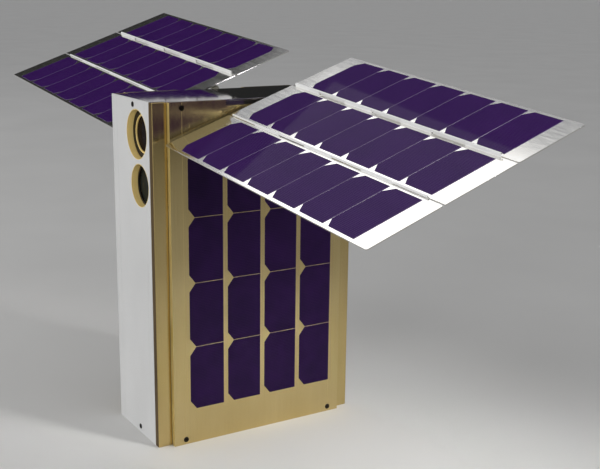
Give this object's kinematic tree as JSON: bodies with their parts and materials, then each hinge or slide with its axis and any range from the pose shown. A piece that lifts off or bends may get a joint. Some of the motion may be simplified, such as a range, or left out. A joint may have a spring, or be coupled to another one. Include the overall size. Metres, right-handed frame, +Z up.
{
  "type": "six-unit box nanosatellite with folding solar wings",
  "caption": "Box nanosatellite with a white front plate, two apertures, cell-covered gold side panels, and a turning, folding solar wing of hinged strips on each side.",
  "frame": {"origin": "centre of the body's footprint, on the plane of the rail feet", "axes": "+X is the normal of the right wide side, towards the right wing; -Y is the front with the two apertures; +Z is up, towards the wing drives"},
  "size_m": [0.7791, 0.2449, 0.4402],
  "materials": {
    "white_paint": "satin white thermal paint on aluminium",
    "bare_plate": "polished bare aluminium",
    "gold_anodise": "fine brushed, pale gold chromate conversion coat",
    "black_anodise": "matt black anodise",
    "lens_glass": "coated optical glass",
    "solar_cell": "glassy violet solar cells under cover glass",
    "ceramic": "glazed ceramic laminate",
    "black_plastic": "moulded black",
    "wing_sheet": "bright rolled sheet",
    "block_alloy": "milled",
    "steel": "ground stainless"
  },
  "bodies": {
    "bus": {"front_panel": "white_paint", "rear_panel": "white_paint", "right_side_panel": "gold_anodise", "left_side_panel": "gold_anodise", "top_panel": "bare_plate", "bottom_panel": "bare_plate", "front_right_rail": "gold_anodise", "front_left_rail": "gold_anodise", "rear_right_rail": "gold_anodise", "rear_left_rail": "gold_anodise", "telescope_barrel": "gold_anodise", "telescope_ring": "black_anodise", "telescope_lens": "lens_glass", "star_tracker_barrel": "gold_anodise", "star_tracker_ring": "black_anodise", "star_tracker_lens": "lens_glass", "right_side_cells": "solar_cell", "left_side_cells": "solar_cell", "equipment_block": "block_alloy", "patch_antenna": "ceramic", "service_connector": "black_plastic", "right_drive_housing": "black_anodise", "left_drive_housing": "black_anodise"},
    "right_drive": {"right_drive_shaft": "steel"},
    "right_wing": {"right_root_hinge": "steel", "right_root_pin": "steel", "right_middle_strip": "wing_sheet", "right_middle_cells": "solar_cell", "right_front_hinge_pin": "steel", "right_rear_hinge_pin": "steel"},
    "right_front": {"right_front_strip": "wing_sheet", "right_front_cells": "solar_cell"},
    "right_rear": {"right_rear_strip": "wing_sheet", "right_rear_cells": "solar_cell"},
    "left_drive": {"left_drive_shaft": "steel"},
    "left_wing": {"left_root_hinge": "steel", "left_root_pin": "steel", "left_middle_strip": "wing_sheet", "left_middle_cells": "solar_cell", "left_front_hinge_pin": "steel", "left_rear_hinge_pin": "steel"},
    "left_front": {"left_front_strip": "wing_sheet", "left_front_cells": "solar_cell"},
    "left_rear": {"left_rear_strip": "wing_sheet", "left_rear_cells": "solar_cell"}
  },
  "joints": [
    {"name": "right_drive_turn", "type": "hinge", "parent": "bus", "child": "right_drive", "pos_m": [0.045, 0, 0.3605], "axis": [1, 0, 0], "range_deg": [-110, 70]},
    {"name": "right_wing_fold", "type": "hinge", "parent": "right_drive", "child": "right_wing", "pos_m": [0.0626, 0, 0.3605], "axis": [0, 0.9397, 0.342], "range_deg": [-13, 83.5]},
    {"name": "right_front_fold", "type": "hinge", "parent": "right_wing", "child": "right_front", "pos_m": [0.22133, -0.0333, 0.3362], "axis": [-0.9936, -0.0387, 0.1064], "range_deg": [0, 180]},
    {"name": "right_rear_fold", "type": "hinge", "parent": "right_wing", "child": "right_rear", "pos_m": [0.22152, 0.04055, 0.36488], "axis": [0.9936, 0.0387, -0.1064], "range_deg": [0, 180]},
    {"name": "left_drive_turn", "type": "hinge", "parent": "bus", "child": "left_drive", "pos_m": [-0.045, 0, 0.3605], "axis": [1, 0, 0], "range_deg": [-110, 70]},
    {"name": "left_wing_fold", "type": "hinge", "parent": "left_drive", "child": "left_wing", "pos_m": [-0.0626, 0, 0.3605], "axis": [0, -0.9397, -0.342], "range_deg": [0, 96.5]},
    {"name": "left_front_fold", "type": "hinge", "parent": "left_wing", "child": "left_front", "pos_m": [-0.21983, -0.04561, 0.37003], "axis": [-0.9936, -0.0387, 0.1064], "range_deg": [0, 180]},
    {"name": "left_rear_fold", "type": "hinge", "parent": "left_wing", "child": "left_rear", "pos_m": [-0.21964, 0.02824, 0.39871], "axis": [0.9936, 0.0387, -0.1064], "range_deg": [0, 180]}
  ]
}
